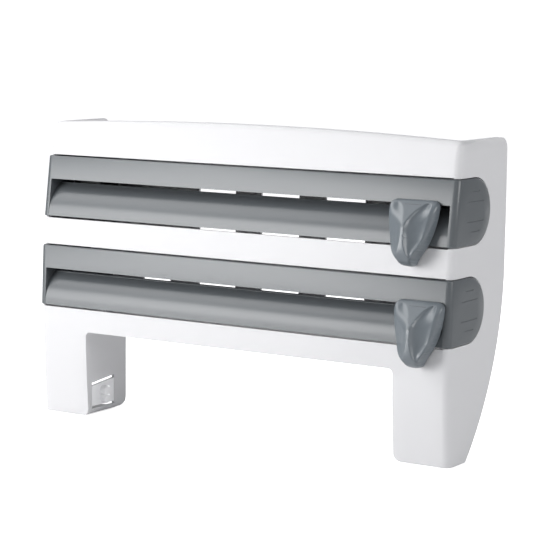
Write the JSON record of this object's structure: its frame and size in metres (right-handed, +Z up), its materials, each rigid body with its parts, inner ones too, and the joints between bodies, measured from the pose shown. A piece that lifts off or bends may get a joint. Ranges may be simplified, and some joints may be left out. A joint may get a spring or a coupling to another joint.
{
  "type": "cling film and towel dispenser",
  "caption": "White wall dispenser with a spice shelf, pull-out gray film drawers with sliding cutter knobs, and arms that hold a towel roll below.",
  "frame": {"origin": "on the surface that the arms stand on, under the middle of the whole", "axes": "+X to the right seen from the front, along the width; -Y out of the front, +Y to the wall; +Z up"},
  "size_m": [0.3862, 0.1114, 0.248],
  "materials": {
    "white_abs": "satin white moulding",
    "gray_abs": "satin gray moulding",
    "knob_gray": "satin dark gray moulding",
    "inner_gray": "plain moulded",
    "steel": "ground"
  },
  "bodies": {
    "housing": {"housing": "white_abs", "shelf_tray": "white_abs", "rear_panel": "white_abs", "rear_panel_screws": "steel"},
    "left_peg": {"left_roll_peg": "white_abs"},
    "right_peg": {"right_roll_peg": "white_abs"},
    "upper_drawer": {"upper_drawer_front": "gray_abs", "upper_roll_trough": "inner_gray", "upper_cutter_rail": "inner_gray"},
    "upper_left_hub": {"upper_left_hub": "inner_gray"},
    "upper_right_hub": {"upper_right_hub": "inner_gray"},
    "upper_cutter": {"upper_cutter_carriage": "inner_gray", "upper_cutter_blade": "steel", "upper_cutter_knob": "knob_gray"},
    "lower_drawer": {"lower_drawer_front": "gray_abs", "lower_roll_trough": "inner_gray", "lower_cutter_rail": "inner_gray"},
    "lower_left_hub": {"lower_left_hub": "inner_gray"},
    "lower_right_hub": {"lower_right_hub": "inner_gray"},
    "lower_cutter": {"lower_cutter_carriage": "inner_gray", "lower_cutter_blade": "steel", "lower_cutter_knob": "knob_gray"}
  },
  "joints": [
    {"name": "left_peg_flex", "type": "slide", "parent": "housing", "child": "left_peg", "axis": [-1, 0, 0], "range_m": [0, 0.003], "stiffness_N_per_m": 3000},
    {"name": "right_peg_flex", "type": "slide", "parent": "housing", "child": "right_peg", "axis": [1, 0, 0], "range_m": [0, 0.003], "stiffness_N_per_m": 3000},
    {"name": "upper_drawer_slide", "type": "slide", "parent": "housing", "child": "upper_drawer", "axis": [0, -1, 0], "range_m": [0, 0.045]},
    {"name": "upper_cutter_slide", "type": "slide", "parent": "upper_drawer", "child": "upper_cutter", "axis": [-1, 0, 0], "range_m": [-0.0095, 0.3285]},
    {"name": "upper_left_hub_spin", "type": "hinge", "parent": "upper_drawer", "child": "upper_left_hub", "pos_m": [0, 0.01197, 0.191], "axis": [1, 0, 0], "continuous": true},
    {"name": "upper_right_hub_spin", "type": "hinge", "parent": "upper_drawer", "child": "upper_right_hub", "pos_m": [0, 0.01197, 0.191], "axis": [1, 0, 0], "continuous": true},
    {"name": "lower_drawer_slide", "type": "slide", "parent": "housing", "child": "lower_drawer", "axis": [0, -1, 0], "range_m": [0, 0.045]},
    {"name": "lower_cutter_slide", "type": "slide", "parent": "lower_drawer", "child": "lower_cutter", "axis": [-1, 0, 0], "range_m": [0, 0.338]},
    {"name": "lower_left_hub_spin", "type": "hinge", "parent": "lower_drawer", "child": "lower_left_hub", "pos_m": [0, 0.0051, 0.117], "axis": [1, 0, 0], "continuous": true},
    {"name": "lower_right_hub_spin", "type": "hinge", "parent": "lower_drawer", "child": "lower_right_hub", "pos_m": [0, 0.0051, 0.117], "axis": [1, 0, 0], "continuous": true}
  ]
}
